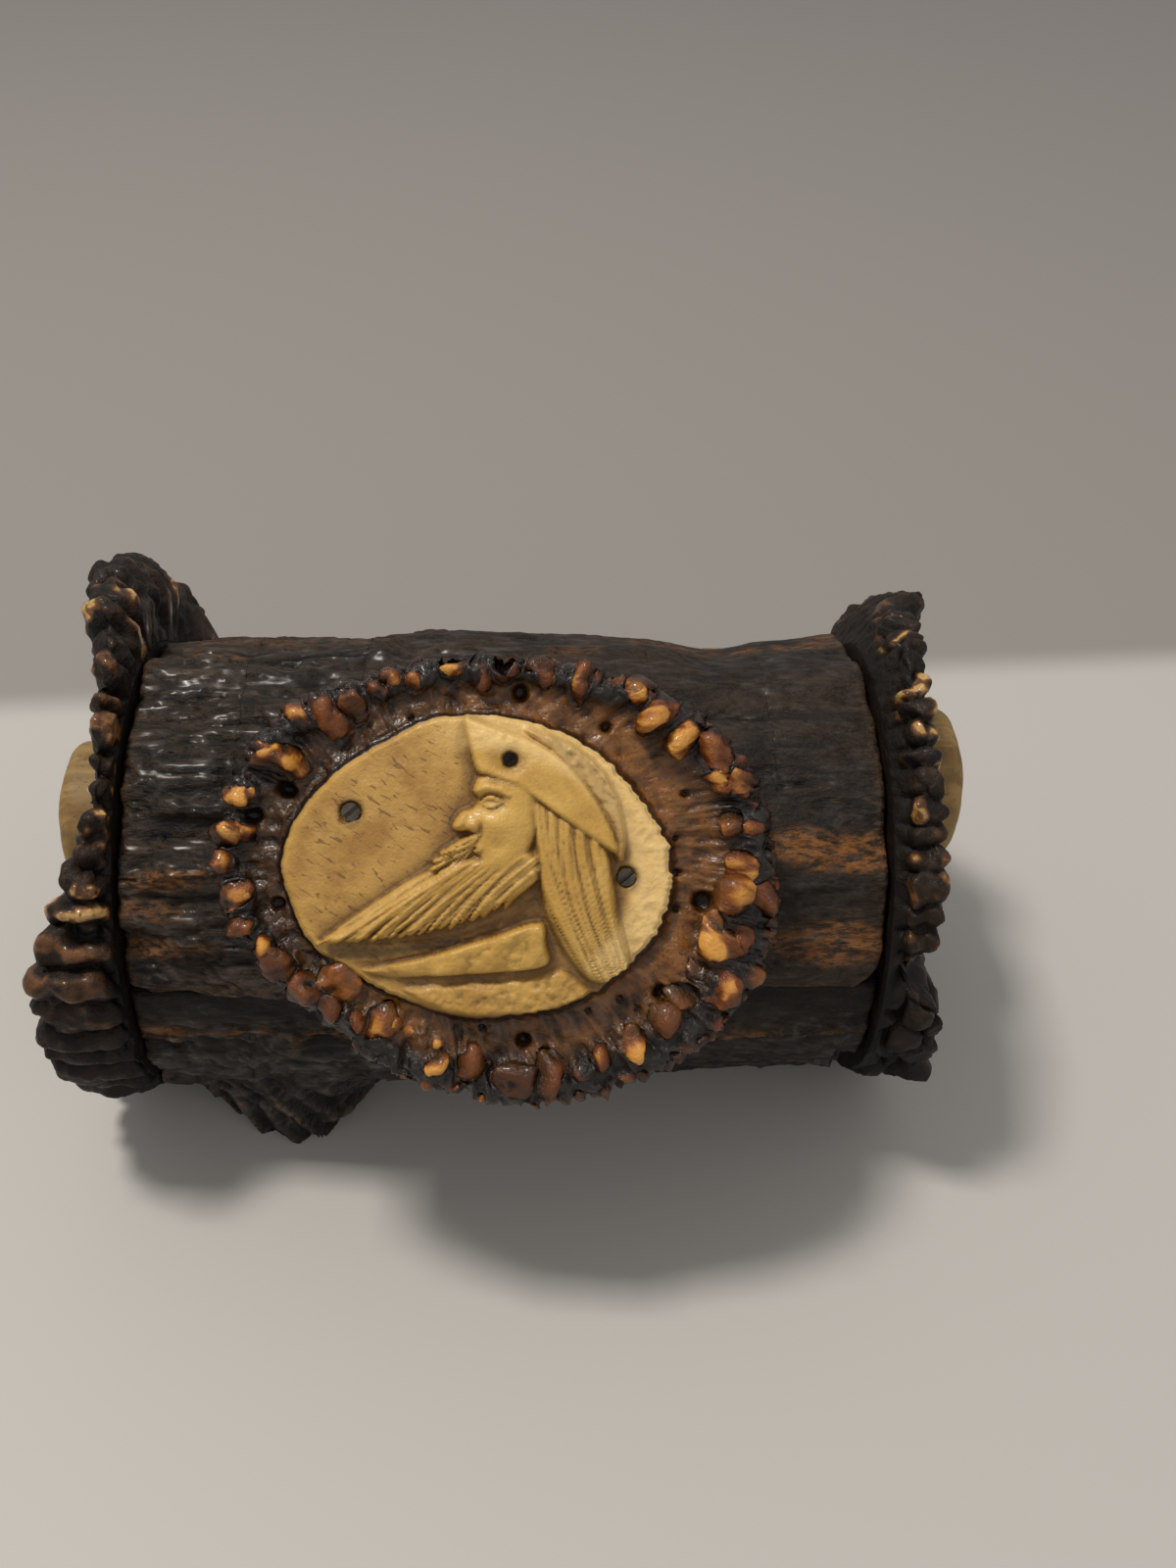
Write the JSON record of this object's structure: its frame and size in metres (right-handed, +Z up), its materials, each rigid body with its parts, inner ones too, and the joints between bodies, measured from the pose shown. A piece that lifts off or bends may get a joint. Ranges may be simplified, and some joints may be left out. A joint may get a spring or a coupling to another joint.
{
  "type": "antler snuff box",
  "caption": "Snuff box made from a length of deer antler, with burr ends and a hinged lid that carries a carved portrait medallion.",
  "frame": {"origin": "on the table, under the middle of the box's footprint", "axes": "+X along the antler beam to the right end as seen from the front, +Y to the back where the hinges are, +Z up; the medallion faces -Y and up"},
  "size_m": [0.104, 0.0756, 0.0655],
  "materials": {
    "dark_bark": "dark brown antler bark with fine grooves along it, glossy on the ridges",
    "burr_antler": "dark brown antler burr, pearled, rubbed pale and glossy on the pearls",
    "medallion_antler": "cream carved antler inside an amber to dark brown pearled rim, glossy",
    "pale_antler": "smooth pale polished antler",
    "dowel_wood": "plain wood",
    "hinge_brass": "aged brass",
    "screw_steel": "darkened steel"
  },
  "bodies": {
    "body": {"body_shell": "dark_bark", "left_burr": "burr_antler", "right_burr": "burr_antler", "left_boss": "pale_antler", "right_boss": "pale_antler", "left_dowel_1": "dowel_wood", "left_dowel_2": "dowel_wood", "left_dowel_3": "dowel_wood", "right_dowel_1": "dowel_wood", "right_dowel_2": "dowel_wood", "right_dowel_3": "dowel_wood", "left_hinge_body_leaf": "hinge_brass", "left_hinge_body_leaf_screw_1": "hinge_brass", "left_hinge_body_leaf_screw_2": "hinge_brass", "left_hinge_pin": "hinge_brass", "right_hinge_body_leaf": "hinge_brass", "right_hinge_body_leaf_screw_1": "hinge_brass", "right_hinge_body_leaf_screw_2": "hinge_brass", "right_hinge_pin": "hinge_brass"},
    "lid": {"lid_shell": "dark_bark", "burr_medallion": "medallion_antler", "medallion_screw_left": "screw_steel", "medallion_screw_hat": "screw_steel", "medallion_screw_right": "screw_steel", "left_hinge_lid_leaf": "hinge_brass", "left_hinge_lid_leaf_screw_1": "hinge_brass", "left_hinge_lid_leaf_screw_2": "hinge_brass", "right_hinge_lid_leaf": "hinge_brass", "right_hinge_lid_leaf_screw_1": "hinge_brass", "right_hinge_lid_leaf_screw_2": "hinge_brass"}
  },
  "joints": [
    {"name": "lid_hinge", "type": "hinge", "parent": "body", "child": "lid", "pos_m": [-0.00095, 0.02209, 0.04198], "axis": [-1, 0, 0], "range_deg": [0, 95]}
  ]
}
